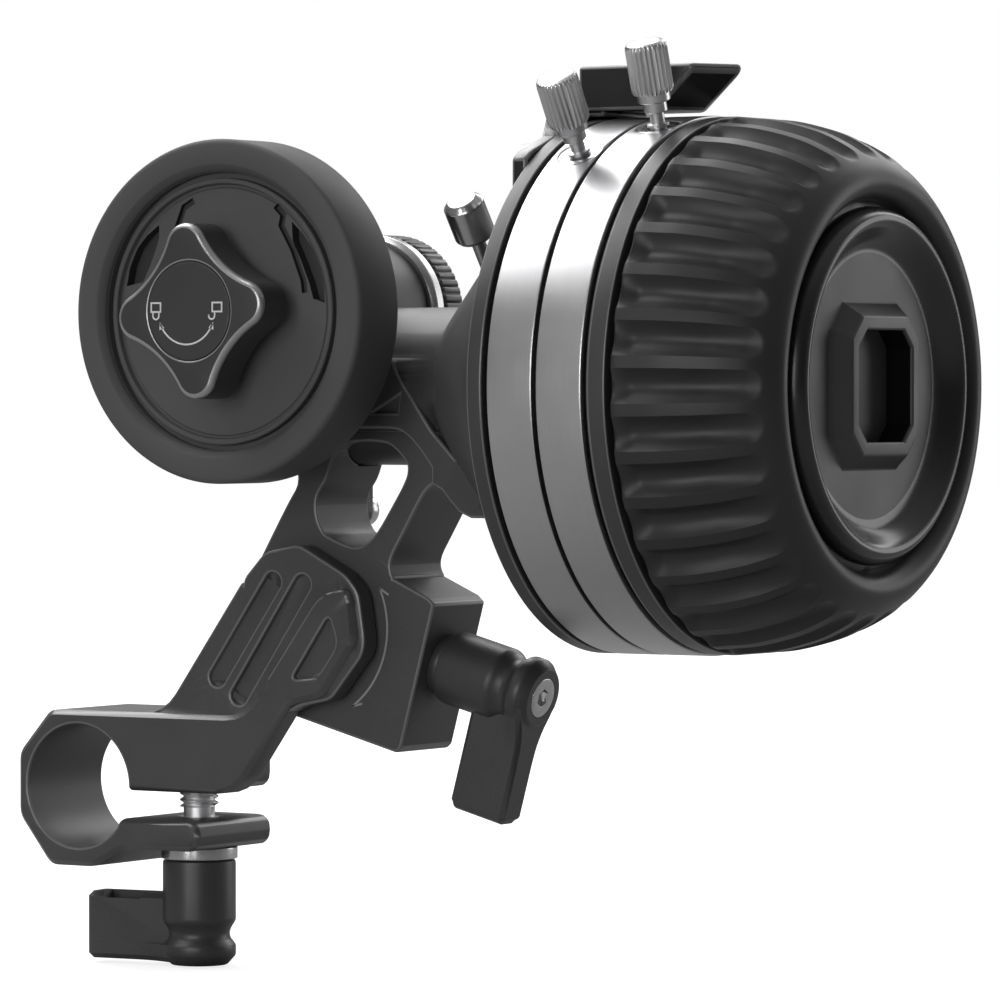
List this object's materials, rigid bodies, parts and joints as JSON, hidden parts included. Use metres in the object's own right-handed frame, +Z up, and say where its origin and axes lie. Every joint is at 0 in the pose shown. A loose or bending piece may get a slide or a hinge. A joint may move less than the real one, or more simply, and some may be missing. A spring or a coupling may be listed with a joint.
{
  "type": "follow focus unit",
  "caption": "Follow focus unit: split rod clamp with levers, tilting arm, right-angle gear housing, drive gear with tyre and knob, and a fluted handwheel with stop rings.",
  "frame": {"origin": "centre of the rod bore at the clamp's front face", "axes": "+X along the handwheel's axis towards its cap, +Y along the rod bore and the drive gear's axis away from the gear, +Z up"},
  "size_m": [0.1144, 0.0624, 0.11],
  "materials": {
    "anodised_black": "fine matt black anodised",
    "steel": "turned and polished",
    "satin_aluminium": "fine turned satin",
    "brass": "machined",
    "dark_plastic": "moulded, fine grain",
    "tyre_rubber": "smooth matt",
    "grip_rubber": "soft matt, fluted",
    "badge_black": "fine matt with white marks",
    "gloss_black": "gloss",
    "satin_plastic": "satin"
  },
  "bodies": {
    "rod_arm": {"rod_clamp_arm": "anodised_black", "pivot_shaft": "steel", "pivot_retainer": "anodised_black", "pivot_screw": "steel", "clamp_washer": "steel"},
    "clamp_lever_body": {"clamp_stud": "steel", "clamp_lever": "anodised_black", "clamp_lever_cap": "steel"},
    "tilt_arm": {"upper_arm": "anodised_black", "brake_pad": "brass", "arm_washer": "anodised_black", "gear_housing": "anodised_black", "housing_end_cap": "anodised_black", "housing_screw_a": "steel", "housing_screw_b": "steel", "wheel_bearing_a": "steel", "wheel_bearing_b": "steel", "gear_bush_a": "brass", "gear_bush_b": "brass", "back_plate": "anodised_black", "back_screw_a": "steel", "back_screw_b": "steel", "back_screw_c": "steel", "index_bracket": "anodised_black", "index_screw_a": "steel", "index_screw_b": "steel", "collar_ring": "satin_aluminium", "collar_cap": "anodised_black"},
    "arm_lever_body": {"arm_stud": "steel", "arm_lever": "anodised_black", "arm_lever_cap": "steel"},
    "handwheel": {"wheel_shaft": "steel", "cross_gear_x": "steel", "wheel_core": "anodised_black", "wheel_bolt": "steel", "bezel_band": "anodised_black", "grip": "grip_rubber", "cap_ring": "gloss_black", "socket_plate": "satin_plastic"},
    "gear_train": {"gear_shaft": "steel", "cross_gear_y": "brass", "drive_gear": "dark_plastic", "gear_tyre": "tyre_rubber", "knob_bolt": "steel"},
    "gear_knob": {"lock_knob": "anodised_black", "knob_badge": "badge_black"},
    "stop_a": {"stop_ring_a": "satin_aluminium", "thumb_bush_a": "steel"},
    "stop_b": {"stop_ring_b": "satin_aluminium", "thumb_bush_b": "steel"},
    "thumb_a": {"thumb_screw_a": "satin_aluminium"},
    "thumb_b": {"thumb_screw_b": "satin_aluminium"},
    "pin": {"lock_pin": "steel"},
    "collar": {"release_collar": "anodised_black"}
  },
  "joints": [
    {"name": "clamp_lever_turn", "type": "hinge", "parent": "rod_arm", "child": "clamp_lever_body", "pos_m": [0.0123, 0.00822, -0.0088], "axis": [0, 0, 1], "range_deg": [-90, 360]},
    {"name": "arm_tilt", "type": "hinge", "parent": "rod_arm", "child": "tilt_arm", "pos_m": [0.0311, 0.0097, 0.0199], "axis": [0, 1, 0], "range_deg": [-45, 45]},
    {"name": "arm_lever_turn", "type": "hinge", "parent": "tilt_arm", "child": "arm_lever_body", "pos_m": [0.0504, 0.0097, 0.01466], "axis": [0.965, 0, -0.2622], "range_deg": [-90, 90]},
    {"name": "wheel_turn", "type": "hinge", "parent": "tilt_arm", "child": "handwheel", "pos_m": [0.06, 0.012, 0.04855], "axis": [1, 0, 0], "range_deg": [-1.5, 314]},
    {"name": "gear_turn", "type": "hinge", "parent": "tilt_arm", "child": "gear_train", "pos_m": [0.02885, 0, 0.0573], "axis": [0, 1, 0], "range_deg": [-2, 315]},
    {"name": "knob_turn", "type": "hinge", "parent": "gear_train", "child": "gear_knob", "pos_m": [0.02885, -0.0145, 0.0573], "axis": [0, 1, 0], "range_deg": [0, 90]},
    {"name": "stop_a_turn", "type": "hinge", "parent": "handwheel", "child": "stop_a", "pos_m": [0.0737, 0.012, 0.04855], "axis": [1, 0, 0], "range_deg": [-14, 314]},
    {"name": "stop_b_turn", "type": "hinge", "parent": "handwheel", "child": "stop_b", "pos_m": [0.0801, 0.012, 0.04855], "axis": [1, 0, 0], "range_deg": [-1.5, 328]},
    {"name": "thumb_a_turn", "type": "hinge", "parent": "stop_a", "child": "thumb_a", "pos_m": [0.07394, -0.00566, 0.07725], "axis": [0, -0.524, 0.8517], "range_deg": [-90, 720]},
    {"name": "thumb_b_turn", "type": "hinge", "parent": "stop_b", "child": "thumb_b", "pos_m": [0.08039, 0.0017, 0.08064], "axis": [0, -0.3057, 0.9521], "range_deg": [-90, 720]},
    {"name": "pin_push", "type": "slide", "parent": "tilt_arm", "child": "pin", "axis": [0, -0.6018, 0.7986], "range_m": [-0.001, 0], "stiffness_N_per_m": 200, "springref_m": 0.0005},
    {"name": "collar_turn", "type": "hinge", "parent": "tilt_arm", "child": "collar", "pos_m": [0.02885, 0.0248, 0.0573], "axis": [0, 1, 0], "range_deg": [-60, 60]}
  ],
  "couplings": [
    {"joint": "gear_turn", "follows": "wheel_turn", "ratio": 1}
  ]
}
